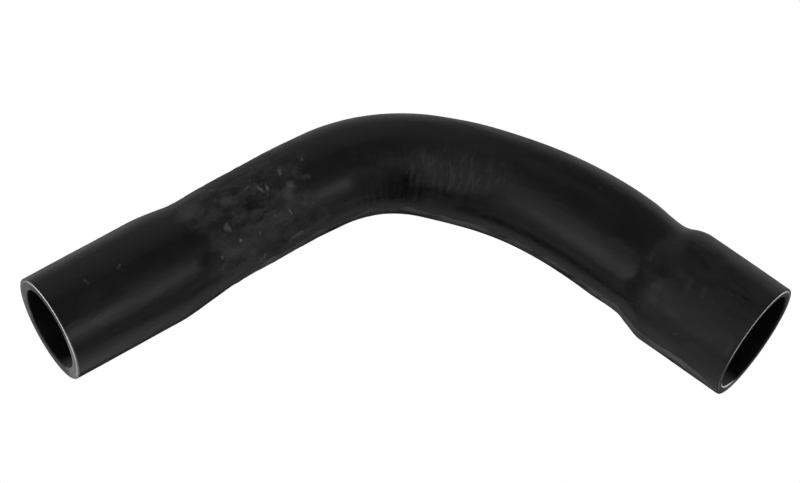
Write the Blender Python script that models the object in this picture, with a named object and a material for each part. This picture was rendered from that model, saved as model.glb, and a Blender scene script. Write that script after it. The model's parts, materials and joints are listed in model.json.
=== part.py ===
"""Crankcase ventilation hose: one moulded rubber tube with a bend and a wider cuff at each end.

The hose is laid out as it is drawn for its mandrel. A bend table gives the centreline, which lies
in one plane, and a list of sections gives the bore and the wall along it. Each section eases into
the next, and the two ends are trimmed square to the centreline.

Metres, +Z up. The hose lies as it rests on a bench, with the middle of its footprint at the origin.
Run it with blender --background --python part.py, or from the text editor.
"""

import math

import bmesh
import bpy
from mathutils import Matrix, Vector

MM = 0.001

# Centreline, from the mouth of the small cuff to the mouth of the large one.
# Each bend has the straight run that leads to it; turns are clockwise seen from above.
SMALL_MOUTH_HEADING = math.radians(39.6)

SMALL_END_RUN = 49.5 * MM
SMALL_END_SET_RADIUS = 60.0 * MM
SMALL_END_SET_TURN = math.radians(-4.0)

LEG_BOW_RUN = 4.0 * MM
LEG_BOW_RADIUS = 297.0 * MM
LEG_BOW_TURN = math.radians(7.5)

ELBOW_RUN = 5.5 * MM
ELBOW_RADIUS = 51.0 * MM
ELBOW_TURN = math.radians(41.0)

SWEEP_RUN = 4.0 * MM
SWEEP_RADIUS = 124.0 * MM
SWEEP_TURN = math.radians(29.0)

LARGE_END_SET_RUN = 15.5 * MM
LARGE_END_SET_RADIUS = 25.0 * MM
LARGE_END_SET_TURN = math.radians(-2.5)

LARGE_END_RUN = 36.0 * MM

# Small cuff, which is pushed over a 28 mm pipe stub, and the flare that leads to it
SMALL_CUFF_BORE = 27.5 * MM
SMALL_CUFF_WALL = 4.0 * MM
SMALL_CUFF_LENGTH = 38.0 * MM
SMALL_FLARE_LENGTH = 20.0 * MM

# Leg and elbow, of one size
LEG_BORE = 24.0 * MM
LEG_WALL = 4.0 * MM

# Large cuff, which is pushed over a 34 mm pipe stub, and the short flare that leads to it
LARGE_CUFF_BORE = 34.0 * MM
LARGE_CUFF_WALL = 3.0 * MM
LARGE_CUFF_LENGTH = 30.5 * MM
LARGE_FLARE_LENGTH = 11.0 * MM

# The sweep widens in two stages to a swell, and draws in to a short waist before the large flare.
# The wall thins where the bore is stretched.
WAIST_BORE = 27.4 * MM
WAIST_WALL = 3.6 * MM
WAIST_LENGTH = 1.5 * MM
SWELL_BORE = 28.7 * MM
SWELL_WALL = 3.5 * MM
SWELL_FALL_LENGTH = 9.5 * MM
SWELL_RISE_LENGTH = 50.5 * MM
SWEEP_BORE = 25.9 * MM
SWEEP_WALL = 3.8 * MM
SWEEP_TAPER_LENGTH = 36.5 * MM

# Fineness of the faceted surface
SIDES = 40
RING_SPACING = 5.0 * MM
RINGS_IN_A_FLARE = 6
CLOSEST_RINGS = 1.0 * MM
SHARP_EDGE = math.radians(60.0)


def bend_table():
    """Rows of straight run, bend radius and turn, in order from the small mouth."""
    return (
        (SMALL_END_RUN, SMALL_END_SET_RADIUS, SMALL_END_SET_TURN),
        (LEG_BOW_RUN, LEG_BOW_RADIUS, LEG_BOW_TURN),
        (ELBOW_RUN, ELBOW_RADIUS, ELBOW_TURN),
        (SWEEP_RUN, SWEEP_RADIUS, SWEEP_TURN),
        (LARGE_END_SET_RUN, LARGE_END_SET_RADIUS, LARGE_END_SET_TURN),
    )


def hose_length():
    """Length of the centreline from mouth to mouth."""
    bends = sum(run + radius * abs(turn) for run, radius, turn in bend_table())
    return bends + LARGE_END_RUN


def centreline(station):
    """Point and heading of the centreline at a distance along it from the small mouth."""
    point = Vector((0.0, 0.0, 0.0))
    heading = SMALL_MOUTH_HEADING
    left = station
    for run, radius, turn in bend_table():
        along = min(left, run)
        point += along * Vector((math.cos(heading), math.sin(heading), 0.0))
        left -= along
        along = min(left, radius * abs(turn))
        turned = math.copysign(along / radius, turn)
        chord = 2.0 * radius * math.sin(abs(turned) / 2.0)
        middle = heading - turned / 2.0
        point += chord * Vector((math.cos(middle), math.sin(middle), 0.0))
        heading -= turned
        left -= along
    point += left * Vector((math.cos(heading), math.sin(heading), 0.0))
    return point, heading


def flares():
    """Rows of first station, last station, and the bore and wall that the hose eases to there."""
    flare_start = hose_length() - LARGE_CUFF_LENGTH - LARGE_FLARE_LENGTH
    waist_start = flare_start - WAIST_LENGTH
    swell_top = waist_start - SWELL_FALL_LENGTH
    swell_start = swell_top - SWELL_RISE_LENGTH
    taper_start = swell_start - SWEEP_TAPER_LENGTH
    small_flare_end = SMALL_CUFF_LENGTH + SMALL_FLARE_LENGTH
    return (
        (SMALL_CUFF_LENGTH, small_flare_end, LEG_BORE, LEG_WALL),
        (taper_start, swell_start, SWEEP_BORE, SWEEP_WALL),
        (swell_start, swell_top, SWELL_BORE, SWELL_WALL),
        (swell_top, waist_start, WAIST_BORE, WAIST_WALL),
        (flare_start, flare_start + LARGE_FLARE_LENGTH, LARGE_CUFF_BORE, LARGE_CUFF_WALL),
    )


def ease(share):
    """Smooth step from 0 to 1, level at both ends."""
    share = min(max(share, 0.0), 1.0)
    return share * share * (3.0 - 2.0 * share)


def radii(station):
    """Outer and bore radius at a station."""
    bore, wall = SMALL_CUFF_BORE, SMALL_CUFF_WALL
    last_bore, last_wall = bore, wall
    for first, last, next_bore, next_wall in flares():
        share = ease((station - first) / (last - first))
        bore += (next_bore - last_bore) * share
        wall += (next_wall - last_wall) * share
        last_bore, last_wall = next_bore, next_wall
    return bore / 2.0 + wall, bore / 2.0


def shaped_stretches():
    """Rows of first and last station and ring spacing, for each stretch that bends or flares."""
    rows = []
    travelled = 0.0
    for run, radius, turn in bend_table():
        travelled += run
        rows.append((travelled, travelled + radius * abs(turn), RING_SPACING))
        travelled += radius * abs(turn)
    for first, last, _, _ in flares():
        rows.append((first, last, min(RING_SPACING, (last - first) / RINGS_IN_A_FLARE)))
    return rows


def stations():
    """Where the rings stand: at each mouth, and closely spaced wherever the hose bends or flares."""
    stretches = shaped_stretches()
    marks = [0.0]
    for mark in sorted(end for first, last, _ in stretches for end in (first, last)):
        if marks[-1] + CLOSEST_RINGS <= mark <= hose_length() - CLOSEST_RINGS:
            marks.append(mark)
    marks.append(hose_length())

    rings = [0.0]
    for first, last in zip(marks, marks[1:]):
        middle = (first + last) / 2.0
        spacing = min((step for a, b, step in stretches if a < middle < b), default=last - first)
        pieces = max(1, round((last - first) / spacing))
        rings += [first + (last - first) * i / pieces for i in range(1, pieces + 1)]
    return rings


def ring_of_points(bm, station, radius):
    """One ring of vertices, square to the centreline."""
    centre, heading = centreline(station)
    across = Vector((-math.sin(heading), math.cos(heading), 0.0))
    up = Vector((0.0, 0.0, 1.0))
    ring = []
    for i in range(SIDES):
        angle = math.tau * i / SIDES
        ring.append(bm.verts.new(centre + radius * (math.cos(angle) * across + math.sin(angle) * up)))
    return ring


def join_rings(bm, one, other):
    """A band of four-sided faces from one ring to the next."""
    for i in range(SIDES):
        after = (i + 1) % SIDES
        bm.faces.new((one[i], one[after], other[after], other[i]))


def hose_mesh():
    """The closed wall: outside, far cut face, bore and near cut face, in the centreline's plane."""
    bm = bmesh.new()
    rings = stations()
    outside = [ring_of_points(bm, s, radii(s)[0]) for s in rings]
    bore = [ring_of_points(bm, s, radii(s)[1]) for s in rings]
    loop = outside + bore[::-1]
    for one, other in zip(loop, loop[1:] + loop[:1]):
        join_rings(bm, one, other)
    bmesh.ops.recalc_face_normals(bm, faces=bm.faces)

    mesh = bpy.data.meshes.new("hose")
    bm.to_mesh(mesh)
    bm.free()
    mesh.shade_smooth()
    mesh.set_sharp_from_angle(angle=SHARP_EDGE)
    return mesh


def centre_of_mass(mesh):
    """Centre of the solid, summed over the tetrahedra under its faces."""
    mesh.calc_loop_triangles()
    volume = 0.0
    moment = Vector((0.0, 0.0, 0.0))
    for triangle in mesh.loop_triangles:
        a, b, c = (mesh.vertices[i].co for i in triangle.vertices)
        part = a.dot(b.cross(c)) / 6.0
        volume += part
        moment += part * (a + b + c) / 4.0
    return moment / volume


def lie_down(mesh):
    """The placement in which the hose rests on the underside nearest its centre of mass."""
    balance = centre_of_mass(mesh)
    hull = bmesh.new()
    for vertex in mesh.vertices:
        hull.verts.new(vertex.co)
    bmesh.ops.convex_hull(hull, input=hull.verts[:])
    hull.normal_update()
    undersides = [face for face in hull.faces if face.normal.z < 0.0]
    resting = min(undersides, key=lambda face: (face.verts[0].co - balance).dot(face.normal))
    turn = resting.normal.rotation_difference(Vector((0.0, 0.0, -1.0))).to_matrix().to_4x4()
    hull.free()

    corners = [turn @ vertex.co for vertex in mesh.vertices]
    low = Vector(min(corner[axis] for corner in corners) for axis in range(3))
    high = Vector(max(corner[axis] for corner in corners) for axis in range(3))
    middle = (low + high) / 2.0
    return Matrix.Translation((-middle.x, -middle.y, -low.z)) @ turn


def rubber():
    """Black moulded rubber with a satin skin."""
    material = bpy.data.materials.new("black_rubber")
    material.use_nodes = True
    shader = material.node_tree.nodes["Principled BSDF"]
    shader.inputs["Base Color"].default_value = (0.010, 0.010, 0.011, 1.0)
    shader.inputs["Roughness"].default_value = 0.45
    shader.inputs["Metallic"].default_value = 0.0
    return material


def main():
    for item in list(bpy.data.objects):
        bpy.data.objects.remove(item, do_unlink=True)
    mesh = hose_mesh()
    mesh.materials.append(rubber())
    hose = bpy.data.objects.new("hose", mesh)
    hose.matrix_world = lie_down(mesh)
    bpy.context.scene.collection.objects.link(hose)


main()
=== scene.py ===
"""The looks of the crankcase ventilation hose: its moulded rubber wall, its studio and its camera."""

import json
import math

import bpy
from mathutils import Matrix, Vector


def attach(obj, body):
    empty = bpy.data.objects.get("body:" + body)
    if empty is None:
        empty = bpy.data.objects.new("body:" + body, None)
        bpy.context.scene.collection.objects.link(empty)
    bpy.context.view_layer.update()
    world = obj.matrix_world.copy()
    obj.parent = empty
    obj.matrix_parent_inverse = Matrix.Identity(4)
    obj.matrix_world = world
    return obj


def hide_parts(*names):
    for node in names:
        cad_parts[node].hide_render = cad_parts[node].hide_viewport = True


MM = 0.001

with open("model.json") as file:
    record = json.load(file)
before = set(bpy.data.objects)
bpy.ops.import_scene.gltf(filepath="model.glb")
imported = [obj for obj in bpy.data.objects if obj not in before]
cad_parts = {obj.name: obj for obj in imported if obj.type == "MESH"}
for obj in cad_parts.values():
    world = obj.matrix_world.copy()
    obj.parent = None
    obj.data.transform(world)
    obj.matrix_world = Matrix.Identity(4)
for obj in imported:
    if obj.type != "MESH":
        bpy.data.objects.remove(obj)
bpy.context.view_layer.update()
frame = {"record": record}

# Centreline from the small mouth to the large one: straight run, bend radius, turn clockwise
BENDS = (
    (49.5 * MM, 60.0 * MM, math.radians(-4.0)),
    (4.0 * MM, 297.0 * MM, math.radians(7.5)),
    (5.5 * MM, 51.0 * MM, math.radians(41.0)),
    (4.0 * MM, 124.0 * MM, math.radians(29.0)),
    (15.5 * MM, 25.0 * MM, math.radians(-2.5)),
)
LARGE_END_RUN = 36.0 * MM
HOSE_LENGTH = sum(run + radius * abs(turn) for run, radius, turn in BENDS) + LARGE_END_RUN

# Stations where the section changes, measured from the small mouth
SMALL_CUFF_END = 38.0 * MM
SMALL_FLARE_END = 58.0 * MM
LARGE_CUFF_START = HOSE_LENGTH - 30.5 * MM
LARGE_FLARE_START = LARGE_CUFF_START - 11.0 * MM
WAIST_START = LARGE_FLARE_START - 1.5 * MM
SWELL_TOP = WAIST_START - 9.5 * MM
SWELL_START = SWELL_TOP - 50.5 * MM
TAPER_START = SWELL_START - 36.5 * MM

# Bore and wall at the small mouth, and where each flare leads: first station, last, bore, wall
SMALL_CUFF = (27.5 * MM, 4.0 * MM)
FLARES = (
    (SMALL_CUFF_END, SMALL_FLARE_END, 24.0 * MM, 4.0 * MM),
    (TAPER_START, SWELL_START, 25.9 * MM, 3.8 * MM),
    (SWELL_START, SWELL_TOP, 28.7 * MM, 3.5 * MM),
    (SWELL_TOP, WAIST_START, 27.4 * MM, 3.6 * MM),
    (LARGE_FLARE_START, LARGE_CUFF_START, 34.0 * MM, 3.0 * MM),
)

# Stretches of the hose: first station, full from, full until, last station
SAG_SPAN = (58.0 * MM, 76.0 * MM, 78.0 * MM, 96.0 * MM)
LUMPS_SPAN = (50.0 * MM, 58.0 * MM, 86.0 * MM, 97.0 * MM)
FLAKES_SPAN = (50.0 * MM, 60.0 * MM, 86.0 * MM, 96.0 * MM)
STREAKS_SPAN = (104.0 * MM, 114.0 * MM, 118.0 * MM, 180.0 * MM)

# Fine form of the wall, which the solid leaves out
EDGE_ROUND = 0.35 * MM
EDGE_STEPS = 4
SKIN_STEP = 0.8 * MM
BORE_STEP = 2.5 * MM
CENTRELINE_STEP = 1.0 * MM
SIDES = 160

# Camera, as the photograph was taken
CAMERA_TARGET = Vector((-4.24, 6.48, 20.0)) * MM
CAMERA_AZIMUTH = math.radians(1.86)
CAMERA_ELEVATION = math.radians(64.46)
CAMERA_ROLL = math.radians(9.19)
CAMERA_DISTANCE = 1.3076
CAMERA_LENS_MM = 185.7
SENSOR_WIDTH_MM = 36.0


def add(tree, kind, inputs=None, **settings):
    """Adds a node with its settings. inputs maps a socket to a value, a socket or a node's first output.

    A socket is given by its name or its number. On Map Range, 0 is the value, 1 and 2 are the range it
    comes from, and 3 and 4 the range it goes to. On Mix, 0 is the share, 6 and 7 are the two colours,
    and output 2 is their mix.
    """
    node = tree.nodes.new(kind)
    for name, value in settings.items():
        setattr(node, name, value)
    for key, value in (inputs or {}).items():
        if isinstance(value, bpy.types.Node):
            value = value.outputs[0]
        if isinstance(value, bpy.types.NodeSocket):
            tree.links.new(value, node.inputs[key])
        else:
            node.inputs[key].default_value = value
    return node


def colour(hex_text):
    """An sRGB hex colour as linear red, green, blue and alpha."""
    parts = [int(hex_text[i:i + 2], 16) / 255.0 for i in (1, 3, 5)]
    return tuple(p / 12.92 if p <= 0.04045 else ((p + 0.055) / 1.055) ** 2.4 for p in parts) + (1.0,)


def within(tree, value, span):
    """1 inside a span, with a soft rise and fall at its two ends, and 0 outside it."""
    rise = add(tree, "ShaderNodeMapRange", {0: value, 1: span[0], 2: span[1]},
               interpolation_type="SMOOTHSTEP")
    fall = add(tree, "ShaderNodeMapRange", {0: value, 1: span[2], 2: span[3]},
               interpolation_type="SMOOTHSTEP")
    return add(tree, "ShaderNodeMath", {0: rise, 1: fall}, operation="SUBTRACT")


# Where the hose lies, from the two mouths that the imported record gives

def mount(name):
    """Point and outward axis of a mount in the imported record."""
    found = next(m for m in frame["record"]["mounts"] if m["name"] == name)
    return Vector(found["pos_m"]), Vector(found["axis"]).normalized()


def placement():
    """From the drawing's plane, where the hose leaves its small mouth along +X, to where it lies."""
    small_point, small_out = mount("small_cuff_end")
    _, large_out = mount("large_cuff_end")
    up = small_out.cross(large_out).normalized()
    along = -small_out
    bore, wall = SMALL_CUFF
    mouth = small_point - up * (bore + wall) / 2.0
    turn = Matrix((along, up.cross(along), up)).transposed().to_4x4()
    return Matrix.Translation(mouth) @ turn, up


# The wall's shape

def centreline(station):
    """Point of the centreline in the drawing's plane, at a distance from the small mouth."""
    point = Vector((0.0, 0.0, 0.0))
    heading = 0.0
    left = station
    for run, radius, turn in BENDS:
        along = min(left, run)
        point += along * Vector((math.cos(heading), math.sin(heading), 0.0))
        left -= along
        along = min(left, radius * abs(turn))
        turned = math.copysign(along / radius, turn)
        chord = 2.0 * radius * math.sin(abs(turned) / 2.0)
        middle = heading - turned / 2.0
        point += chord * Vector((math.cos(middle), math.sin(middle), 0.0))
        heading -= turned
        left -= along
    return point + left * Vector((math.cos(heading), math.sin(heading), 0.0))


def ease(share):
    """Smooth step from 0 to 1."""
    share = min(max(share, 0.0), 1.0)
    return share * share * (3.0 - 2.0 * share)


def radii(station):
    """Outer and bore radius at a station."""
    bore, wall = SMALL_CUFF
    last_bore, last_wall = bore, wall
    for first, last, next_bore, next_wall in FLARES:
        share = ease((station - first) / (last - first))
        bore += (next_bore - last_bore) * share
        wall += (next_wall - last_wall) * share
        last_bore, last_wall = next_bore, next_wall
    return bore / 2.0 + wall, bore / 2.0


def rounded_corner(station, radius, start_angle):
    """Points of a quarter circle that rounds a corner of the cut, in the plane of station and radius."""
    points = []
    for i in range(EDGE_STEPS + 1):
        angle = start_angle - math.pi / 2.0 * i / EDGE_STEPS
        points.append((station + EDGE_ROUND * math.cos(angle), radius + EDGE_ROUND * math.sin(angle)))
    return points


def section():
    """The wall's closed section as rows of station, reach from the centreline, and zone.

    Zone 0 is the skin, 1 the cut faces and 2 the bore.
    """
    start, end = EDGE_ROUND, HOSE_LENGTH - EDGE_ROUND
    rows = []
    count = round((end - start) / SKIN_STEP)
    for i in range(1, count):
        station = start + (end - start) * i / count
        rows.append((station, radii(station)[0], 0.0))
    outer, bore = radii(HOSE_LENGTH)
    rows += [(s, r, 1.0) for s, r in rounded_corner(end, outer - EDGE_ROUND, math.pi / 2.0)]
    rows += [(s, r, 1.0) for s, r in rounded_corner(end, bore + EDGE_ROUND, 0.0)]
    count = round((end - start) / BORE_STEP)
    for i in range(1, count):
        station = end + (start - end) * i / count
        rows.append((station, radii(station)[1], 2.0))
    outer, bore = radii(0.0)
    rows += [(s, r, 1.0) for s, r in rounded_corner(start, bore + EDGE_ROUND, -math.pi / 2.0)]
    rows += [(s, r, 1.0) for s, r in rounded_corner(start, outer - EDGE_ROUND, math.pi)]
    return rows


def section_object():
    """The section as a closed line whose points carry their station, reach and zone."""
    rows = section()
    mesh = bpy.data.meshes.new("section")
    edges = [(i, (i + 1) % len(rows)) for i in range(len(rows))]
    mesh.from_pydata([(s, r, 0.0) for s, r, _ in rows], edges, [])
    for name, values in zip(("station", "reach", "zone"), zip(*rows)):
        mesh.attributes.new(name, "FLOAT", "POINT").data.foreach_set("value", values)
    item = bpy.data.objects.new("section", mesh)
    bpy.context.scene.collection.objects.link(item)
    return item


def centreline_object(where):
    """The centreline as a curve, where the hose lies."""
    count = round(HOSE_LENGTH / CENTRELINE_STEP)
    curve = bpy.data.curves.new("centreline", "CURVE")
    curve.dimensions = "3D"
    spline = curve.splines.new("POLY")
    spline.points.add(count)
    for i, point in enumerate(spline.points):
        point.co = (*(where @ centreline(HOSE_LENGTH * i / count)), 1.0)
    item = bpy.data.objects.new("centreline", curve)
    bpy.context.scene.collection.objects.link(item)
    return item


def hose_tree():
    """Turns the section into a wall, bends it along the centreline and gives it its skin."""
    tree = bpy.data.node_groups.new("moulded hose", "GeometryNodeTree")
    socket = tree.interface.new_socket
    socket("Section", in_out="INPUT", socket_type="NodeSocketGeometry")
    socket("Centreline", in_out="INPUT", socket_type="NodeSocketObject")
    socket("Plane normal", in_out="INPUT", socket_type="NodeSocketVector")
    socket("Sides", in_out="INPUT", socket_type="NodeSocketInt")
    for name in ("Sag", "Ripple height", "Ripple width", "Lump height", "Lump width"):
        socket(name, in_out="INPUT", socket_type="NodeSocketFloat")
    for name in ("Skin", "Cut face", "Bore"):
        socket(name, in_out="INPUT", socket_type="NodeSocketMaterial")
    socket("Hose", in_out="OUTPUT", socket_type="NodeSocketGeometry")
    given = add(tree, "NodeGroupInput").outputs

    # Turn the section: a circle of the hose's sides, with the section swept round it
    circle = add(tree, "GeometryNodeCurvePrimitiveCircle", {"Resolution": given["Sides"]}, mode="RADIUS")
    number = add(tree, "GeometryNodeInputIndex")
    turned = add(tree, "ShaderNodeMath", {0: number, 1: math.tau}, operation="MULTIPLY")
    turned = add(tree, "ShaderNodeMath", {0: turned, 1: given["Sides"]}, operation="DIVIDE")
    circle = add(tree, "GeometryNodeStoreNamedAttribute",
                 {"Geometry": circle, "Name": "turn", "Value": turned}, data_type="FLOAT", domain="POINT")
    profile = add(tree, "GeometryNodeMeshToCurve", {0: given["Section"]})
    wall = add(tree, "GeometryNodeCurveToMesh", {"Curve": circle, "Profile Curve": profile})
    station, reach, turn, zone = (
        add(tree, "GeometryNodeInputNamedAttribute", {0: name}, data_type="FLOAT")
        for name in ("station", "reach", "turn", "zone"))
    cosine = add(tree, "ShaderNodeMath", {0: turn}, operation="COSINE")
    sine = add(tree, "ShaderNodeMath", {0: turn}, operation="SINE")

    # Bend it: each point goes to its station on the centreline, out by its reach
    path = add(tree, "GeometryNodeObjectInfo", {0: given["Centreline"]}, transform_space="ORIGINAL")
    at = add(tree, "GeometryNodeSampleCurve",
             {"Curves": path.outputs["Geometry"], "Length": station}, mode="LENGTH")
    across = add(tree, "ShaderNodeVectorMath", {0: given["Plane normal"], 1: at.outputs["Tangent"]},
                 operation="CROSS_PRODUCT")
    across = add(tree, "ShaderNodeVectorMath", {0: across}, operation="NORMALIZE")
    sideways = add(tree, "ShaderNodeVectorMath", {0: across, "Scale": cosine}, operation="SCALE")
    upwards = add(tree, "ShaderNodeVectorMath", {0: given["Plane normal"], "Scale": sine}, operation="SCALE")
    outward = add(tree, "ShaderNodeVectorMath", {0: sideways, 1: upwards}, operation="ADD")

    # The leg sags a little towards the inside of the bend
    sag = within(tree, station, SAG_SPAN)
    sag = add(tree, "ShaderNodeMath", {0: sag, 1: given["Sag"]}, operation="MULTIPLY")
    sag = add(tree, "ShaderNodeVectorMath", {0: across, "Scale": sag}, operation="SCALE")
    middle = add(tree, "ShaderNodeVectorMath", {0: at.outputs["Position"], 1: sag}, operation="SUBTRACT")
    reached = add(tree, "ShaderNodeVectorMath", {0: outward, "Scale": reach}, operation="SCALE")
    smooth = add(tree, "ShaderNodeVectorMath", {0: middle, 1: reached}, operation="ADD")

    # The skin is never quite even: a low ripple, outside only
    fineness = add(tree, "ShaderNodeMath", {0: 1.0, 1: given["Ripple width"]}, operation="DIVIDE")
    noise = add(tree, "ShaderNodeTexNoise", {"Vector": smooth, "Scale": fineness, "Detail": 2.0})
    swing = add(tree, "ShaderNodeMath", {0: noise, 1: 0.5}, operation="SUBTRACT")
    height = add(tree, "ShaderNodeMath", {0: swing, 1: given["Ripple height"]}, operation="MULTIPLY")

    # Dried residue stands up in lumps round the small flare
    lumpy = within(tree, station, LUMPS_SPAN)
    fineness = add(tree, "ShaderNodeMath", {0: 1.0, 1: given["Lump width"]}, operation="DIVIDE")
    lumps = add(tree, "ShaderNodeTexNoise",
                {"Vector": smooth, "Scale": fineness, "Detail": 2.0, "Distortion": 0.8})
    lumps = add(tree, "ShaderNodeMath", {0: lumps, 1: 0.5}, operation="SUBTRACT")
    lumps = add(tree, "ShaderNodeMath", {0: lumps, 1: lumpy}, operation="MULTIPLY")
    height = add(tree, "ShaderNodeMath", {0: lumps, 1: given["Lump height"], 2: height},
                 operation="MULTIPLY_ADD")
    on_skin = add(tree, "FunctionNodeCompare", {0: zone, 1: 0.5}, operation="LESS_THAN")
    height = add(tree, "ShaderNodeMath", {0: height, 1: on_skin}, operation="MULTIPLY")
    ripple = add(tree, "ShaderNodeVectorMath", {0: outward, "Scale": height}, operation="SCALE")
    position = add(tree, "ShaderNodeVectorMath", {0: smooth, 1: ripple}, operation="ADD")
    result = add(tree, "GeometryNodeSetPosition", {"Geometry": wall, "Position": position})

    # The straightened hose, which the skin's patterns are laid out on
    y = add(tree, "ShaderNodeMath", {0: reach, 1: cosine}, operation="MULTIPLY")
    z = add(tree, "ShaderNodeMath", {0: reach, 1: sine}, operation="MULTIPLY")
    straight = add(tree, "ShaderNodeCombineXYZ", {0: station, 1: y, 2: z})
    result = add(tree, "GeometryNodeStoreNamedAttribute",
                 {"Geometry": result, "Name": "straight", "Value": straight},
                 data_type="FLOAT_VECTOR", domain="POINT")
    result = add(tree, "GeometryNodeSetShadeSmooth", {0: result})
    result = add(tree, "GeometryNodeRealizeInstances", {0: result})

    # A face takes the mean of its points' zones, and one on a border goes to the skin or to the bore
    for name, least_zone in (("Skin", -1.0), ("Cut face", 0.75), ("Bore", 1.25)):
        chosen = add(tree, "FunctionNodeCompare", {0: zone, 1: least_zone}, operation="GREATER_THAN")
        result = add(tree, "GeometryNodeSetMaterial",
                     {"Geometry": result, "Selection": chosen, "Material": given[name]})
    add(tree, "NodeGroupOutput", {0: result})
    return tree


def moulded_hose(skin, cut, bore):
    """The finished wall as one plain mesh."""
    where, up = placement()
    host = section_object()
    path = centreline_object(where)
    tree = hose_tree()
    maker = host.modifiers.new("moulded hose", "NODES")
    maker.node_group = tree
    sizes = {
        "Centreline": path,
        "Plane normal": tuple(up),
        "Sides": SIDES,
        "Sag": 0.35 * MM,
        "Ripple height": 0.25 * MM,
        "Ripple width": 22.0 * MM,
        "Lump height": 0.45 * MM,
        "Lump width": 4.0 * MM,
        "Skin": skin,
        "Cut face": cut,
        "Bore": bore,
    }
    for item in tree.interface.items_tree:
        if item.name in sizes:
            maker[item.identifier] = sizes[item.name]
    bpy.context.view_layer.update()
    ready = host.evaluated_get(bpy.context.evaluated_depsgraph_get())
    mesh = bpy.data.meshes.new_from_object(ready)
    mesh.name = "moulded_hose"
    for item in (host, path):
        bpy.data.objects.remove(item)
    hose = bpy.data.objects.new("moulded_hose", mesh)
    bpy.context.scene.collection.objects.link(hose)
    return hose


# Finishes

# Sizes of the skin's patterns: one size, or along the hose and across it. All are as on such a hose,
# apart from the orange peel, which is 0.3 mm wide there, too fine to show, and is drawn coarser.
BORDER_BAYS = 12.0 * MM
BORDER_SHIFT = 8.0 * MM
TATTERS = 1.6 * MM
TATTER_SHIFT = 3.0 * MM
PATCHES = (14.0 * MM, 7.0 * MM, 7.0 * MM)
TEARS = 2.5 * MM
TEAR_SHIFT = 3.2 * MM
FLAKES = (4.5 * MM, 2.6 * MM, 2.6 * MM)
CRUMBS = (2.2 * MM, 4.5 * MM, 4.5 * MM)
STREAKS = (2.0 * MM, 20.0 * MM, 20.0 * MM)
STROKES = (1.4 * MM, 5.0 * MM, 5.0 * MM)
LINES = (70.0 * MM, 2.0 * MM, 2.0 * MM)
SPECK_SPACING = 12.0 * MM
CLOUDS = 30.0 * MM
ORANGE_PEEL = 1.2 * MM
RELEASE_DUST = 5.0 * MM

# The grain of the cut is 0.1 mm in the real rubber, too fine to show, and is drawn coarser
CUT_GRAIN = 0.8 * MM

# How many mottles there are to a flake of residue
MOTTLES_PER_FLAKE = 0.7

# How patterns slant on the skin, in radians
FLAKE_SLANT = 0.35
CRUMB_SLANT = -0.5
STROKE_SLANT = 0.12

# How much residue of the release film lies along the hose: station in mm, share
RESIDUE = (
    (0.0, 0.05), (48.0, 0.10), (57.0, 0.50), (86.0, 0.50), (97.0, 0.10), (126.0, 0.15),
    (140.0, 0.38), (170.0, 0.25), (182.0, 0.04), (217.0, 0.06), (225.0, 0.52), (258.0, 0.52),
)

# Thick residue is faintly smeared outside the flakes too, and more so past here, on the large cuff
SMEAR_GROWS = (212.0 * MM, 222.0 * MM)

# The pale line low on the flank is a painted reflection of the table. Its height on the flank: lowest, full
# from, full until, highest. It wanders up and down by a share of the ragged border, and grows along the leg
# and again along the sweep.
TABLE_REFLECTION_LINE = (-5.8 * MM, -4.4 * MM, -0.8 * MM, 0.4 * MM)
TABLE_REFLECTION_WANDER = 0.12
LEG_REFLECTION_GROWS = (52.0 * MM, 70.0 * MM)
SWEEP_REFLECTION_GROWS = (188.0 * MM, 200.0 * MM)

# A painted rim highlight on the large cuff: where it starts, and how far out on the outside of the bend it
# lies
RIM_HIGHLIGHT_STARTS = (213.0 * MM, 220.0 * MM)
RIM_HIGHLIGHT_OUT = (7.0 * MM, 14.5 * MM)

# Blots on the skin: station, turn from the outside of the bend, half length and half width in mm, slant in
# degrees, and how much residue there is. Below zero the skin is darker and duller; at the large flare's waist
# this is painted shade in its fold.
BLOTS = (
    (12.0, 107.0, 8.0, 3.0, 8.0, 0.20),
    (34.0, 119.0, 16.0, 4.5, -6.0, 0.25),
    (47.0, 174.0, 7.0, 6.0, 0.0, 0.60),
    (57.0, 68.0, 5.0, 4.0, 20.0, 0.70),
    (60.0, 143.0, 5.0, 5.0, 40.0, -0.40),
    (74.0, 148.0, 7.0, 5.0, -10.0, 0.60),
    (84.0, 108.0, 6.0, 3.0, 25.0, 0.60),
    (52.0, 98.0, 5.0, 7.0, 15.0, -0.40),
    (53.0, 130.0, 8.0, 6.0, 10.0, -1.00),
    (112.0, 134.0, 9.0, 8.0, 10.0, -0.70),
    (122.0, 143.0, 14.0, 8.0, 0.0, -0.35),
    (150.0, 114.0, 24.0, 10.0, 4.0, 0.50),
    # Painted shade: the fold at the large flare's waist
    (220.0, 144.0, 6.0, 5.0, 20.0, -1.20),
    (227.0, 131.0, 5.0, 3.0, 0.0, 0.50),
    (248.0, 173.0, 9.0, 4.0, 0.0, 0.90),
    (257.0, 137.0, 3.0, 7.0, 0.0, -0.60),
)

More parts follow.
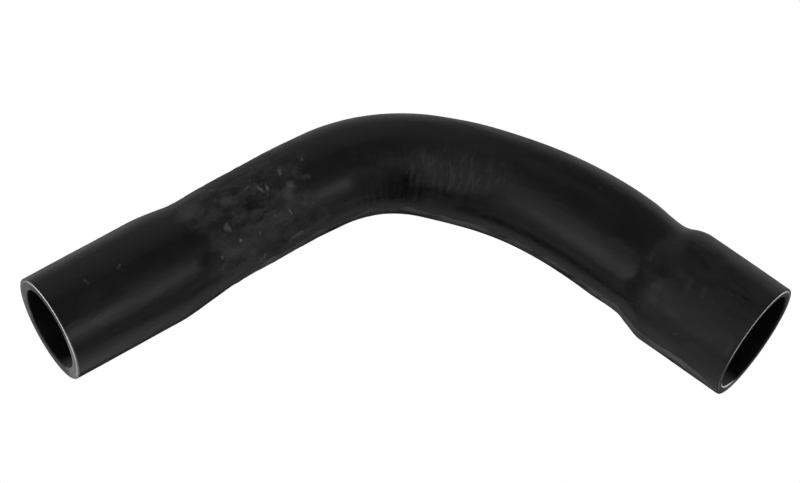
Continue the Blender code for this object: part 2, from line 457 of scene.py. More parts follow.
# Flecks of dried residue: station, turn, half length and half width in mm, slant, and how pale
FLECKS = (
    (14.0, 89.0, 0.6, 1.4, 0.0, 0.22),
    (25.5, 92.0, 1.4, 0.9, 20.0, 0.35),
    (54.8, 70.0, 7.0, 4.0, 15.0, 0.3),
    (61.8, 112.0, 1.3, 2.0, 0.0, 0.6),
    (66.5, 84.0, 3.0, 2.6, 0.0, 0.35),
    (74.8, 82.0, 1.8, 0.9, 10.0, 0.5),
    (77.8, 91.0, 0.7, 2.0, 25.0, 1.0),
    (80.2, 93.0, 0.7, 2.2, -15.0, 0.8),
    (64.8, 141.4, 3.6, 3.6, 0.0, 0.14),
    (74.2, 146.4, 4.5, 4.5, 0.0, 0.12),
    (82.8, 163.0, 4.0, 1.2, 5.0, 0.4),
    (86.6, 83.0, 0.8, 2.4, -30.0, 0.9),
    (87.0, 103.0, 1.8, 2.6, -10.0, 0.5),
    (85.0, 110.0, 2.6, 3.0, -10.0, 0.25),
    (93.0, 104.0, 2.5, 1.4, 10.0, 0.25),
    (219.0, 103.0, 1.2, 2.8, 15.0, 0.10),
    (226.3, 126.0, 3.0, 4.0, 0.0, 0.09),
    (227.0, 136.0, 3.0, 2.6, 0.0, 0.09),
    (234.0, 107.0, 1.6, 4.0, 0.0, 0.07),
    (239.2, 105.0, 1.2, 2.8, 20.0, 0.10),
)

# The crease that the sleeve left in curing, and where the sweep is scuffed: laid out as the blots are
CREASE = (249.4, 88.8, 7.7, 1.30, 4.4)
SCUFFED = (146.0, 119.0, 27.0, 12.0, 8.0)

# Half depth of a blot, in and out of the skin
BLOT_DEPTH = 6.0 * MM

# How rough bare skin is, and skin under residue, and how much film even bare skin has
BARE_ROUGHNESS = 0.27
RESIDUE_ROUGHNESS = 0.62
BARE_FILM = 0.05

# The painted highlight along a cut face's outer edge: how far inside the outer edge its middle lies, and half
# its width without and with its soft borders. The one round the bore: how far out its middle lies, half its
# width.
EDGE_HIGHLIGHT_DEPTH = 0.9 * MM
EDGE_HIGHLIGHT_HALF = (0.15 * MM, 0.55 * MM)
BORE_EDGE_HIGHLIGHT_OUT = 0.2 * MM
BORE_EDGE_HIGHLIGHT_HALF = 0.3 * MM

# How deep in a mouth the painted light on its front wall reaches: at all, and wholly
LIT_BORE_DEPTH = 22.0 * MM
LIT_BORE_FULL_DEPTH = 6.0 * MM


def scale_for(sizes):
    """Scale of a pattern whose marks have these real sizes."""
    return tuple(1.0 / size for size in sizes)


def new_finish(name):
    """A material, and the place on the straightened hose that its patterns are laid out on."""
    material = bpy.data.materials.new(name)
    material.use_nodes = True
    tree = material.node_tree
    place = add(tree, "ShaderNodeAttribute", attribute_name="straight").outputs["Vector"]
    parts = add(tree, "ShaderNodeSeparateXYZ", {0: place}).outputs
    return material, tree, tree.nodes["Principled BSDF"], place, parts


def blot(tree, place, station, turn, length, width, slant):
    """A soft oval on the skin, laid out on the straightened hose: 1 in its middle, 0 past its edge."""
    angle = math.radians(turn)
    reach = radii(station * MM)[0]
    middle = (station * MM, reach * math.cos(angle), reach * math.sin(angle))
    tilt = Matrix.Rotation(angle - math.pi / 2.0, 3, "X") @ Matrix.Rotation(math.radians(slant), 3, "Z")
    oval = add(tree, "ShaderNodeMapping", {
        "Vector": place,
        "Location": middle,
        "Rotation": tuple(tilt.to_euler()),
        "Scale": (length * MM, width * MM, BLOT_DEPTH),
    }, vector_type="TEXTURE")
    distance = add(tree, "ShaderNodeVectorMath", {0: oval}, operation="LENGTH").outputs["Value"]
    return add(tree, "ShaderNodeMapRange", {0: distance, 1: 0.2, 2: 1.0, 3: 1.0, 4: 0.0},
               interpolation_type="SMOOTHSTEP")


def residue_film(tree, place, along):
    """The release film's residue: how much of it there is, its patches, and where negative blots make the
    skin darker and duller, at the large flare's waist as painted shade.
    """
    share = add(tree, "ShaderNodeMath", {0: along, 1: HOSE_LENGTH}, operation="DIVIDE")
    band = add(tree, "ShaderNodeValToRGB", {0: share})
    band.color_ramp.interpolation = "EASE"
    ramp = band.color_ramp.elements
    while len(ramp) < len(RESIDUE):
        ramp.new(0.5)
    for element, (where, value) in zip(ramp, RESIDUE):
        element.position = where * MM / HOSE_LENGTH
        element.color = (value, value, value, 1.0)
    stretched = add(tree, "ShaderNodeMapping", {"Vector": place, "Scale": scale_for(PATCHES)})
    patchy = add(tree, "ShaderNodeTexNoise",
                 {"Vector": stretched, "Scale": 1.0, "Detail": 4.0, "Roughness": 0.55, "Distortion": 0.6})
    patches = add(tree, "ShaderNodeMapRange", {0: patchy, 1: 0.35, 2: 0.65, 3: 0.3, 4: 1.6})
    film = add(tree, "ShaderNodeMath", {0: band, 1: patches}, operation="MULTIPLY")
    for *where, amount in BLOTS:
        spot = blot(tree, place, *where)
        film = add(tree, "ShaderNodeMath", {0: spot, 1: amount, 2: film}, operation="MULTIPLY_ADD")
    stain_and_shade = add(tree, "ShaderNodeMapRange", {0: film, 1: 0.0, 2: -0.8})
    film = add(tree, "ShaderNodeClamp", {0: film})
    return film, patchy, stain_and_shade


def residue_flakes(tree, place, along, tattered):
    """Residue that dried into flakes round the small flare, how thick it is, and its pale crumbs."""
    flaked = within(tree, along, FLAKES_SPAN)
    torn = add(tree, "ShaderNodeTexNoise", {"Vector": place, "Scale": 1.0 / TEARS, "Detail": 3.0})
    torn = add(tree, "ShaderNodeVectorMath", {0: torn.outputs["Color"], "Scale": TEAR_SHIFT},
               operation="SCALE")
    torn = add(tree, "ShaderNodeVectorMath", {0: place, 1: torn}, operation="ADD")
    slanted = add(tree, "ShaderNodeMapping",
                  {"Vector": torn, "Rotation": (0.0, 0.0, FLAKE_SLANT), "Scale": scale_for(FLAKES)})
    mottled = add(tree, "ShaderNodeTexNoise",
                  {"Vector": slanted, "Scale": MOTTLES_PER_FLAKE, "Detail": 5.0, "Roughness": 0.65})
    mottled = add(tree, "ShaderNodeMapRange", {0: mottled, 1: 0.42, 2: 0.62})
    cells = add(tree, "ShaderNodeTexVoronoi", {"Vector": slanted, "Scale": 1.0})
    chance = add(tree, "ShaderNodeSeparateColor", {0: cells.outputs["Color"]}).outputs
    thick = add(tree, "ShaderNodeMapRange", {0: chance[0], 1: 0.35, 2: 1.0, 3: 0.0, 4: 0.40})
    thick = add(tree, "ShaderNodeMath", {0: mottled, 1: 0.65, 2: thick}, operation="MULTIPLY_ADD")
    first, last = SMEAR_GROWS
    smeared = add(tree, "ShaderNodeMapRange", {0: along, 1: first, 2: last, 3: 0.06, 4: 0.15})
    smeared = add(tree, "ShaderNodeMath", {0: flaked, 1: smeared}, operation="MAXIMUM")
    thick = add(tree, "ShaderNodeMath", {0: thick, 1: smeared}, operation="MULTIPLY")

    bits = add(tree, "ShaderNodeMapping",
               {"Vector": torn, "Rotation": (0.0, 0.0, CRUMB_SLANT), "Scale": scale_for(CRUMBS)})
    bits = add(tree, "ShaderNodeTexVoronoi", {"Vector": bits, "Scale": 1.0})
    chance = add(tree, "ShaderNodeSeparateColor", {0: bits.outputs["Color"]}).outputs
    chosen = add(tree, "ShaderNodeMapRange", {0: chance[0], 1: 0.78, 2: 0.99})
    size = add(tree, "ShaderNodeMapRange", {0: chance[1], 1: 0.0, 2: 1.0, 3: 0.10, 4: 0.34})
    middle = add(tree, "ShaderNodeMath", {0: bits.outputs["Distance"], 1: size}, operation="DIVIDE")
    crumbs = add(tree, "ShaderNodeMapRange", {0: middle, 1: 0.5, 2: 1.0, 3: 1.0, 4: 0.0})
    for share in (chosen, flaked):
        crumbs = add(tree, "ShaderNodeMath", {0: crumbs, 1: share}, operation="MULTIPLY")
    for *where, paleness in FLECKS:
        fleck = blot(tree, tattered, *where)
        fleck = add(tree, "ShaderNodeMath", {0: fleck, 1: paleness}, operation="MULTIPLY")
        crumbs = add(tree, "ShaderNodeMath", {0: crumbs, 1: fleck}, operation="MAXIMUM")
    return flaked, thick, crumbs


def mandrel_streaks(tree, place, parts):
    """Streaks across the hose where its bend was pulled off the mandrel, most of all inside the bend."""
    streaks = add(tree, "ShaderNodeMapping", {"Vector": place, "Scale": scale_for(STREAKS)})
    streaks = add(tree, "ShaderNodeTexNoise",
                  {"Vector": streaks, "Scale": 1.0, "Detail": 2.0, "Distortion": 0.3})
    streaks = add(tree, "ShaderNodeMapRange", {0: streaks, 1: 0.35, 2: 0.65, 3: -1.0, 4: 1.0})
    bend = within(tree, parts["X"], STREAKS_SPAN)
    inside = add(tree, "ShaderNodeMapRange", {0: parts["Y"], 1: -1.0 * MM, 2: -7.0 * MM, 3: 0.15, 4: 1.0})
    for share in (bend, inside):
        streaks = add(tree, "ShaderNodeMath", {0: streaks, 1: share}, operation="MULTIPLY")
    return streaks


def scuff_strokes(tree, place):
    """Short pale strokes where the sweep was rubbed."""
    strokes = add(tree, "ShaderNodeMapping",
                  {"Vector": place, "Rotation": (0.0, 0.0, STROKE_SLANT), "Scale": scale_for(STROKES)})
    strokes = add(tree, "ShaderNodeTexNoise",
                  {"Vector": strokes, "Scale": 1.0, "Detail": 2.0, "Distortion": 0.6})
    strokes = add(tree, "ShaderNodeMapRange", {0: strokes, 1: 0.50, 2: 0.70})
    return add(tree, "ShaderNodeMath", {0: strokes, 1: blot(tree, place, *SCUFFED)}, operation="MULTIPLY")


def table_reflection_and_rim_highlight(tree, parts, shift, patchy):
    """Painted light in the base colour: a painted reflection of the table in a line low on the inside of the
    bend, and a painted rim highlight on the outside of the large cuff."""
    loose = add(tree, "ShaderNodeMapRange", {0: patchy, 1: 0.35, 2: 0.62, 3: 0.1, 4: 1.0})
    wander = add(tree, "ShaderNodeMath", {0: shift, 1: TABLE_REFLECTION_WANDER, 2: parts["Z"]},
                 operation="MULTIPLY_ADD")
    line = within(tree, wander, TABLE_REFLECTION_LINE)
    inside = add(tree, "ShaderNodeMath", {0: parts["Y"], 1: 0.0}, operation="LESS_THAN")
    for share in (inside, loose):
        line = add(tree, "ShaderNodeMath", {0: line, 1: share}, operation="MULTIPLY")
    first, last = LEG_REFLECTION_GROWS
    amount = add(tree, "ShaderNodeMapRange", {0: parts["X"], 1: first, 2: last, 3: 0.3, 4: 0.8})
    first, last = SWEEP_REFLECTION_GROWS
    more = add(tree, "ShaderNodeMapRange", {0: parts["X"], 1: first, 2: last, 3: 0.0, 4: 0.8})
    amount = add(tree, "ShaderNodeMath", {0: amount, 1: more}, operation="ADD")
    line = add(tree, "ShaderNodeMath", {0: line, 1: amount}, operation="MULTIPLY", use_clamp=True)

    first, last = RIM_HIGHLIGHT_OUT
    outside = add(tree, "ShaderNodeMapRange", {0: parts["Y"], 1: first, 2: last, 3: 0.0, 4: 0.85})
    first, last = RIM_HIGHLIGHT_STARTS
    cuff = add(tree, "ShaderNodeMapRange", {0: parts["X"], 1: first, 2: last})
    for share in (cuff, loose):
        outside = add(tree, "ShaderNodeMath", {0: outside, 1: share}, operation="MULTIPLY")
    return add(tree, "ShaderNodeMath", {0: line, 1: outside}, operation="MAXIMUM")


def rubber_skin():
    """EPDM rubber cured on a steel mandrel and given a wipe: black satin skin, with dull grey residue of the
    release film round the small flare and on the large cuff, pale flecks and scuffs, a pale painted
    reflection of the table low on the inside of the bend, a painted rim highlight on the large cuff, and
    painted shade in the crease and in the fold of the large flare's waist."""
    material, tree, shader, place, parts = new_finish("epdm_skin")

    # The ragged border of what lies along the hose, and the ragged outline of small marks
    ragged = add(tree, "ShaderNodeTexNoise", {"Vector": place, "Scale": 1.0 / BORDER_BAYS, "Detail": 3.0})
    shift = add(tree, "ShaderNodeMapRange", {0: ragged, 1: 0.3, 2: 0.7, 3: -BORDER_SHIFT, 4: BORDER_SHIFT})
    along = add(tree, "ShaderNodeMath", {0: parts["X"], 1: shift}, operation="ADD")
    tattered = add(tree, "ShaderNodeTexNoise", {"Vector": place, "Scale": 1.0 / TATTERS, "Detail": 3.0})
    tattered = add(tree, "ShaderNodeVectorMath", {0: tattered.outputs["Color"], 1: (0.5, 0.5, 0.5)},
                   operation="SUBTRACT")
    tattered = add(tree, "ShaderNodeVectorMath", {0: tattered, "Scale": TATTER_SHIFT}, operation="SCALE")
    tattered = add(tree, "ShaderNodeVectorMath", {0: place, 1: tattered}, operation="ADD")

    residue, patchy, stain_and_shade = residue_film(tree, place, along)
    flaked, thick, crumbs = residue_flakes(tree, place, along, tattered)
    crease = blot(tree, tattered, *CREASE)
    streaks = mandrel_streaks(tree, place, parts)
    strokes = scuff_strokes(tree, place)
    painted_reflection_and_rim = table_reflection_and_rim_highlight(tree, parts, shift, patchy)

    # Faint lines along the hose, specks of dust half a millimetre wide, and a cloudy polish
    lines = add(tree, "ShaderNodeMapping", {"Vector": place, "Scale": scale_for(LINES)})
    lines = add(tree, "ShaderNodeTexNoise", {"Vector": lines, "Scale": 1.0, "Detail": 2.0})
    lines = add(tree, "ShaderNodeMapRange", {0: lines, 1: 0.3, 2: 0.7, 3: -1.0, 4: 1.0})
    specks = add(tree, "ShaderNodeTexVoronoi", {"Vector": place, "Scale": 1.0 / SPECK_SPACING})
    specks = add(tree, "ShaderNodeMapRange",
                 {0: specks.outputs["Distance"], 1: 0.02, 2: 0.05, 3: 1.0, 4: 0.0})
    cloud = add(tree, "ShaderNodeTexNoise", {"Vector": place, "Scale": 1.0 / CLOUDS, "Detail": 3.0})
    cloud = add(tree, "ShaderNodeMapRange", {0: cloud, 1: 0.3, 2: 0.7, 3: -1.0, 4: 1.0})

    # Residue and the darker blots are dull, and bare skin is satin
    uneven = add(tree, "ShaderNodeMapRange", {0: patchy, 1: 0.35, 2: 0.65, 3: -1.0, 4: 1.0})
    roughness = add(tree, "ShaderNodeMapRange",
                    {0: residue, 1: 0.0, 2: 1.0, 3: BARE_ROUGHNESS, 4: RESIDUE_ROUGHNESS})
    for pattern, amount in ((cloud, 0.04), (streaks, 0.04), (thick, 0.22), (uneven, 0.03), (stain_and_shade, 0.40)):
        roughness = add(tree, "ShaderNodeMath", {0: pattern, 1: amount, 2: roughness},
                        operation="MULTIPLY_ADD")

    # Residue is grey over black, and what lies on it is paler. The negative blots darken it, at the large
    # flare's waist as painted shade, and the crease is darkened as painted shade.
    film = residue
    for pattern, amount in ((streaks, 0.20), (lines, 0.04), (flaked, -0.35), (stain_and_shade, -0.4), (crease, -0.8)):
        film = add(tree, "ShaderNodeMath", {0: pattern, 1: amount, 2: film}, operation="MULTIPLY_ADD")
    film = add(tree, "ShaderNodeMath", {0: film, 1: BARE_FILM}, operation="ADD", use_clamp=True)
    tone = colour("#0D0D0E")
    # The #6A6A69 cover is painted light: a reflection of the table low on the inside flank, and a rim
    # highlight on the large cuff
    for cover, paint in ((film, "#2E2E2E"), (strokes, "#444444"), (thick, "#4C4C4C"), (painted_reflection_and_rim, "#6A6A69"),
                         (crumbs, "#808080"), (specks, "#4A4A49")):
        tone = add(tree, "ShaderNodeMix", {0: cover, 6: tone, 7: colour(paint)}, data_type="RGBA").outputs[2]

    # Relief in metres
    relief = add(tree, "ShaderNodeTexNoise", {"Vector": place, "Scale": 1.0 / ORANGE_PEEL, "Detail": 2.0})
    relief = add(tree, "ShaderNodeMath", {0: relief, 1: 0.010 * MM}, operation="MULTIPLY")
    for pattern, height in ((patchy, 0.13 * MM), (thick, 0.10 * MM), (lines, 0.008 * MM),
                            (streaks, 0.020 * MM), (crease, -0.30 * MM)):
        relief = add(tree, "ShaderNodeMath", {0: pattern, 1: height, 2: relief}, operation="MULTIPLY_ADD")
    bump = add(tree, "ShaderNodeBump", {"Height": relief, "Distance": 1.0, "Strength": 1.0})

    tree.links.new(tone, shader.inputs["Base Color"])
    tree.links.new(roughness.outputs[0], shader.inputs["Roughness"])
    tree.links.new(bump.outputs[0], shader.inputs["Normal"])
    shader.inputs["IOR"].default_value = 1.5
    return material


def cut_rubber():
    """Knife-cut rubber: charcoal and matt, with a pale painted highlight along the top of the cut edges and
    painted light on the sides of the face.
    """
    material, tree, shader, place, parts = new_finish("knife_cut_rubber")
    small_outer = radii(0.0)[0]
    large_outer, large_bore = radii(HOSE_LENGTH)
    large = add(tree, "ShaderNodeMath", {0: parts["X"], 1: HOSE_LENGTH / 2.0}, operation="GREATER_THAN")
    across = add(tree, "ShaderNodeVectorMath", {0: place, 1: (0.0, 1.0, 1.0)}, operation="MULTIPLY")
    reach = add(tree, "ShaderNodeVectorMath", {0: across}, operation="LENGTH").outputs["Value"]
    aside = add(tree, "ShaderNodeMath", {0: parts["Y"]}, operation="ABSOLUTE")

    # A painted highlight runs just inside the outer edge, over the top, where the rounded edge catches the
    # light. At the small mouth it fades towards the outside of the bend.
    outer = add(tree, "ShaderNodeMapRange",
                {0: parts["X"], 1: 0.0, 2: HOSE_LENGTH, 3: small_outer, 4: large_outer})
    depth = add(tree, "ShaderNodeMath", {0: outer, 1: reach}, operation="SUBTRACT")
    away = add(tree, "ShaderNodeMath", {0: depth, 1: EDGE_HIGHLIGHT_DEPTH}, operation="SUBTRACT")
    away = add(tree, "ShaderNodeMath", {0: away}, operation="ABSOLUTE")
    full, gone = EDGE_HIGHLIGHT_HALF
    line = add(tree, "ShaderNodeMapRange", {0: away, 1: full, 2: gone, 3: 1.0, 4: 0.0})
    upper = add(tree, "ShaderNodeMapRange", {0: parts["Z"], 1: -7.0 * MM, 2: -2.0 * MM},
                interpolation_type="SMOOTHSTEP")
    top = add(tree, "ShaderNodeMapRange", {0: aside, 1: 13.0 * MM, 2: 17.5 * MM, 3: 1.0, 4: 0.15})
    rear = add(tree, "ShaderNodeMapRange", {0: parts["Y"], 1: 6.0 * MM, 2: 14.0 * MM, 3: 1.0, 4: 0.15})
    rear = add(tree, "ShaderNodeMath", {0: rear, 1: large}, operation="MAXIMUM")
    for share in (upper, top, rear):
        line = add(tree, "ShaderNodeMath", {0: line, 1: share}, operation="MULTIPLY")

    # At the large mouth a painted highlight lies on the front of the inner edge too
    inner_edge_highlight = add(tree, "ShaderNodeMath",
                {0: reach, 1: large_bore + BORE_EDGE_HIGHLIGHT_OUT, 2: BORE_EDGE_HIGHLIGHT_HALF}, operation="COMPARE")
    front = add(tree, "ShaderNodeMapRange", {0: parts["Y"], 1: -7.0 * MM, 2: -10.0 * MM})
    under = add(tree, "ShaderNodeMapRange", {0: parts["Z"], 1: -2.0 * MM, 2: -5.0 * MM})
    for share in (front, large, under):
        inner_edge_highlight = add(tree, "ShaderNodeMath", {0: inner_edge_highlight, 1: share}, operation="MULTIPLY")
    line = add(tree, "ShaderNodeMath", {0: line, 1: inner_edge_highlight}, operation="MAXIMUM")

    # Painted light: the sides of the face are paler, as a reflection of the lit table, the front one most,
    # not low down, and hardly so at the large mouth
    pale = add(tree, "ShaderNodeMapRange", {0: aside, 1: 8.0 * MM, 2: 13.0 * MM},
               interpolation_type="SMOOTHSTEP")
    low = add(tree, "ShaderNodeMapRange", {0: parts["Z"], 1: -14.0 * MM, 2: -8.0 * MM},
              interpolation_type="SMOOTHSTEP")
    behind = add(tree, "ShaderNodeMapRange", {0: parts["Y"], 1: -2.0 * MM, 2: 4.0 * MM, 3: 1.0, 4: 0.5})
    dimmer = add(tree, "ShaderNodeMapRange", {0: large, 1: 0.0, 2: 1.0, 3: 1.0, 4: 0.15})
    for share in (low, behind, dimmer):
        pale = add(tree, "ShaderNodeMath", {0: pale, 1: share}, operation="MULTIPLY")

    grain = add(tree, "ShaderNodeTexNoise", {"Vector": place, "Scale": 1.0 / CUT_GRAIN, "Detail": 3.0})
    tone = colour("#0A0A0A")
    # 626261 is painted light on the sides of the face, and #F0F0EC a painted highlight on the cut edges
    for cover, paint in ((grain, "#1A1A1A"), (pale, "#626261"), (line, "#F0F0EC")):
        tone = add(tree, "ShaderNodeMix", {0: cover, 6: tone, 7: colour(paint)}, data_type="RGBA").outputs[2]
    relief = add(tree, "ShaderNodeMath", {0: grain, 1: 0.03 * MM}, operation="MULTIPLY")
    bump = add(tree, "ShaderNodeBump", {"Height": relief, "Distance": 1.0, "Strength": 1.0})
    tree.links.new(tone, shader.inputs["Base Color"])
    tree.links.new(bump.outputs[0], shader.inputs["Normal"])
    shader.inputs["Roughness"].default_value = 0.45
    return material


def bore_rubber():
    """The bore, as the mandrel left it: matt black, with a little pale release dust, and painted light in
    grey on the front wall just inside each mouth."""
    material, tree, shader, place, parts = new_finish("bore_rubber")
    dust = add(tree, "ShaderNodeTexNoise", {"Vector": place, "Scale": 1.0 / RELEASE_DUST, "Detail": 4.0})
    dust = add(tree, "ShaderNodeMapRange", {0: dust, 1: 0.5, 2: 0.75})
    half = HOSE_LENGTH / 2.0
    inwards = add(tree, "ShaderNodeMath", {0: parts["X"], 1: half}, operation="SUBTRACT")
    inwards = add(tree, "ShaderNodeMath", {0: inwards}, operation="ABSOLUTE")
    mouth = add(tree, "ShaderNodeMapRange", {0: inwards, 1: half - LIT_BORE_DEPTH, 2: half - LIT_BORE_FULL_DEPTH})
    front = add(tree, "ShaderNodeMapRange", {0: parts["Y"], 1: -5.0 * MM, 2: -11.0 * MM})
    painted_bore_light = add(tree, "ShaderNodeMath", {0: mouth, 1: front}, operation="MULTIPLY")
    tone = colour("#060606")
    # The #585856 cover is painted light on the front wall just inside each mouth
    for cover, paint in ((dust, "#121212"), (painted_bore_light, "#585856")):
        tone = add(tree, "ShaderNodeMix", {0: cover, 6: tone, 7: colour(paint)}, data_type="RGBA").outputs[2]
    tree.links.new(tone, shader.inputs["Base Color"])
    shader.inputs["Roughness"].default_value = 0.7
    shader.inputs["Specular IOR Level"].default_value = 0.25
    return material


hose = moulded_hose(rubber_skin(), cut_rubber(), bore_rubber())
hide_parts("hose")
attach(hose, "root")


# Studio

TABLE_HALF = 3.0
TABLE_DROP = 0.2 * MM
TABLE_GLOW = 0.10
ROOM_GLOW = 0.14

# Dark cards: how far the mat under the hose reaches past it at the front and at the back, and the
# outline in mm of the card that lies before it and its top corners where it stands up
MAT_FRONT = 8.0 * MM
MAT_BACK = 20.0 * MM
MAT_STEPS = 40
FRONT_CARD = ((-22, -8), (26, -18), (32, -60), (46, -110), (260, -600), (-150, -600), (-20, -110), (-20, -60))
FRONT_CARD_HEIGHT = 0.3 * MM
FRONT_CARD_TOP = ((-0.15, -0.6, 0.5), (0.26, -0.6, 0.5))
CARD_DROP = 0.1 * MM

# Cards before each mouth: how far from it they start and end, and how wide and high they are
MOUTH_CARD_HEIGHT = 0.5 * MM
MOUTH_CARD_START = 7.5 * MM
MOUTH_CARD_END = 73.0 * MM
MOUTH_CARD_NEAR_HALF = 25.5 * MM
MOUTH_CARD_FAR_HALF = 74.0 * MM
STANDING_CARD_HEIGHT = 90.0 * MM

# Brightness of the card that lies before each mouth, and of the one that stands past it
MOUTH_CARDS = (
    ("small_cuff_end", 0.35, 2.2),
    ("large_cuff_end", 0.06, 1.4),
)

# Softboxes: azimuth and the elevations of their lower and upper edge in degrees, width in metres, and
# the radiance of each strip from the lower edge up
SOFTBOX_DISTANCE = 1.5
SOFTBOXES = (
    ("left front softbox", -51.0, 12.0, 60.0, 0.95, (0.48, 0.56, 0.54, 0.42, 0.28, 0.18)),
    ("right front softbox", 60.0, 12.0, 60.0, 0.95, (0.06, 0.32, 0.66, 0.82, 0.24, 0.08)),
    ("overhead fill", -25.0, 58.0, 80.0, 0.9, (0.20,)),
    ("back left panel", -162.0, 5.0, 55.0, 0.9, (0.12,)),
)

# An area light's power is this many times its radiance times its area
POWER_PER_RADIANCE = 4.0


def stage_piece(name, material, corners, faces, seen, height=0.0):
    """A piece of the studio, which isn't part of the hose."""
    mesh = bpy.data.meshes.new(name)
    mesh.from_pydata(corners, [], faces)
    mesh.materials.append(material)
    item = bpy.data.objects.new(name, mesh)
    item.location.z = height
    item.visible_camera = seen
    bpy.context.scene.collection.objects.link(item)
    return item


def floor():
    """A pale table. The camera sees it blown out to white, as it is in the photograph."""
    material = bpy.data.materials.new("white_table")
    material.use_nodes = True
    tree = material.node_tree
    tree.nodes.clear()
    seen = add(tree, "ShaderNodeLightPath").outputs["Is Camera Ray"]
    matt = add(tree, "ShaderNodeBsdfDiffuse", {"Color": colour("#E8E8E8")})
    glow = add(tree, "ShaderNodeEmission", {"Color": colour("#FFFFFF"), "Strength": TABLE_GLOW})
    underlit = add(tree, "ShaderNodeAddShader", {0: matt, 1: glow})
    white = add(tree, "ShaderNodeEmission", {"Color": colour("#FFFFFF"), "Strength": 1.0})
    both = add(tree, "ShaderNodeMixShader", {0: seen, 1: underlit, 2: white})
    add(tree, "ShaderNodeOutputMaterial", {0: both})
    corners = [(x * TABLE_HALF, y * TABLE_HALF, 0.0) for x, y in ((-1, -1), (1, -1), (1, 1), (-1, 1))]
    stage_piece("table", material, corners, [(0, 1, 2, 3)], True, -TABLE_DROP)


def dark_cards():
    """Dark cards, which the camera doesn't see: a mat under the hose, and a card in front of it that
    stands up below the camera. They keep the hose's edges and the side of its bend black."""
    material = bpy.data.materials.new("black_card")
    material.use_nodes = True
    shader = material.node_tree.nodes["Principled BSDF"]
    shader.inputs["Base Color"].default_value = colour("#484848")
    shader.inputs["Roughness"].default_value = 0.9
    corners = [(x * MM, y * MM, FRONT_CARD_HEIGHT) for x, y in FRONT_CARD] + list(FRONT_CARD_TOP)
    faces = [(0, 7, 6, 5, 4, 3, 2, 1), (4, 5, 8, 9)]

    where, _ = placement()
    first = len(corners)
    for i in range(MAT_STEPS + 1):
        station = HOSE_LENGTH * i / MAT_STEPS
        here = where @ centreline(station)
        ahead = where @ centreline(station + CENTRELINE_STEP)
        along = (ahead - here).normalized()
        back = Vector((-along.y, along.x, 0.0))
        reach = radii(station)[0]
        here.z = 0.0
        corners += [here - back * (reach + MAT_FRONT), here + back * (reach + MAT_BACK)]
        if i:
            at = first + 2 * i
            faces.append((at - 2, at, at + 1, at - 1))
    stage_piece("cards", material, corners, faces, False, -CARD_DROP)


def bright_card(name, brightness, corners, mirrored):
    """A card of one brightness, lit evenly, which the camera doesn't see. It shines on the hose, and is
    mirrored in it or not."""
    material = bpy.data.materials.new(name)
    material.use_nodes = True
    tree = material.node_tree
    tree.nodes.clear()
    tone = add(tree, "ShaderNodeEmission", {"Color": colour("#FFFFFF"), "Strength": brightness})
    add(tree, "ShaderNodeOutputMaterial", {0: tone})
    item = stage_piece(name, material, corners, [(0, 1, 2, 3)], False)
    item.visible_glossy = mirrored


def mouth_cards(mouth, lying, standing):
    """Two cards before a mouth: one lies on the table and is mirrored in the cut face, and one stands past it
    and lights the painted highlight line on the cut edge."""
    point, out = mount(mouth)
    point.z = MOUTH_CARD_HEIGHT
    side = Vector((-out.y, out.x, 0.0)).normalized()
    near = point + out * MOUTH_CARD_START
    far = point + out * MOUTH_CARD_END
    near_edge = (near - side * MOUTH_CARD_NEAR_HALF, near + side * MOUTH_CARD_NEAR_HALF)
    far_edge = (far + side * MOUTH_CARD_FAR_HALF, far - side * MOUTH_CARD_FAR_HALF)
    top = Vector((0.0, 0.0, STANDING_CARD_HEIGHT))
    bright_card(mouth + " lying card", lying, (*near_edge, *far_edge), True)
    bright_card(mouth + " standing card", standing, (*far_edge, far_edge[1] + top, far_edge[0] + top), False)


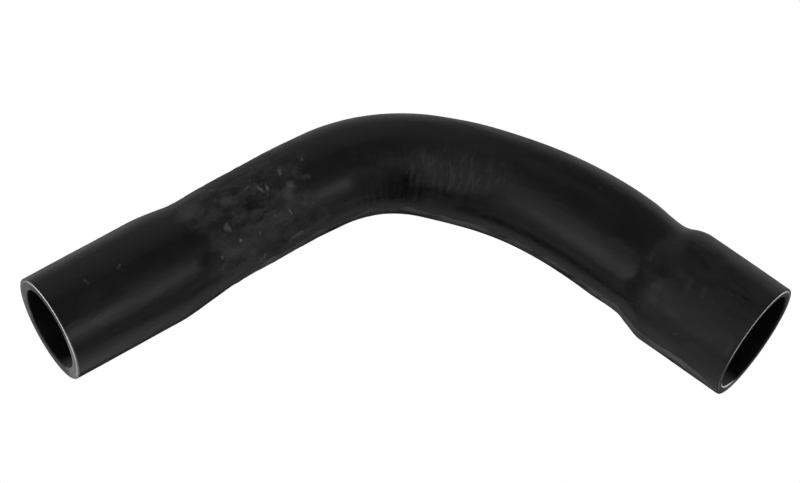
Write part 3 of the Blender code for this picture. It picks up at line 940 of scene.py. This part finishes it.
def softbox(name, azimuth, low, high, width, radiances):
    """A softbox that looks at the hose. It is made of one area light for each radiance, from its lower
    edge up. Azimuth 0 is on the camera's side, and turns towards +X."""
    step = (high - low) / len(radiances)
    height = 2.0 * SOFTBOX_DISTANCE * math.tan(math.radians(step) / 2.0)
    around = math.radians(azimuth)
    for i, radiance in enumerate(radiances):
        light = bpy.data.lights.new(name, "AREA")
        light.shape = "RECTANGLE"
        light.size = width
        light.size_y = height
        light.energy = POWER_PER_RADIANCE * radiance * width * height
        item = bpy.data.objects.new(name, light)
        above = math.radians(low + step * (i + 0.5))
        level = math.cos(above)
        away = Vector((math.sin(around) * level, -math.cos(around) * level, math.sin(above)))
        item.rotation_mode = "QUATERNION"
        item.rotation_quaternion = (-away).to_track_quat("-Z", "Y")
        item.location = away * SOFTBOX_DISTANCE
        item.visible_camera = False
        bpy.context.scene.collection.objects.link(item)


def surroundings():
    """A dark room behind the lights. The camera sees it blown out to white, as the table is."""
    world = bpy.data.worlds.new("studio")
    world.use_nodes = True
    tree = world.node_tree
    tree.nodes.clear()
    seen = add(tree, "ShaderNodeLightPath").outputs["Is Camera Ray"]
    strength = add(tree, "ShaderNodeMapRange", {0: seen, 1: 0.0, 2: 1.0, 3: ROOM_GLOW, 4: 1.0})
    room = add(tree, "ShaderNodeBackground", {"Color": colour("#FFFFFF"), "Strength": strength})
    add(tree, "ShaderNodeOutputWorld", {0: room})
    bpy.context.scene.world = world


def camera():
    """The photograph's camera."""
    data = bpy.data.cameras.new("camera")
    data.lens = CAMERA_LENS_MM
    data.sensor_width = SENSOR_WIDTH_MM
    item = bpy.data.objects.new("camera", data)
    level = math.cos(CAMERA_ELEVATION)
    back = Vector((-math.sin(CAMERA_AZIMUTH) * level, -math.cos(CAMERA_AZIMUTH) * level,
                   math.sin(CAMERA_ELEVATION)))
    right = Vector((math.cos(CAMERA_AZIMUTH), -math.sin(CAMERA_AZIMUTH), 0.0))
    turn = Matrix((right, back.cross(right), back)).transposed() @ Matrix.Rotation(CAMERA_ROLL, 3, "Z")
    item.matrix_world = Matrix.Translation(CAMERA_TARGET + back * CAMERA_DISTANCE) @ turn.to_4x4()
    bpy.context.scene.collection.objects.link(item)
    bpy.context.scene.camera = item


floor()
surroundings()
dark_cards()
for row in MOUTH_CARDS:
    mouth_cards(*row)
for row in SOFTBOXES:
    softbox(*row)
camera()
bpy.context.scene.view_settings.view_transform = "Standard"
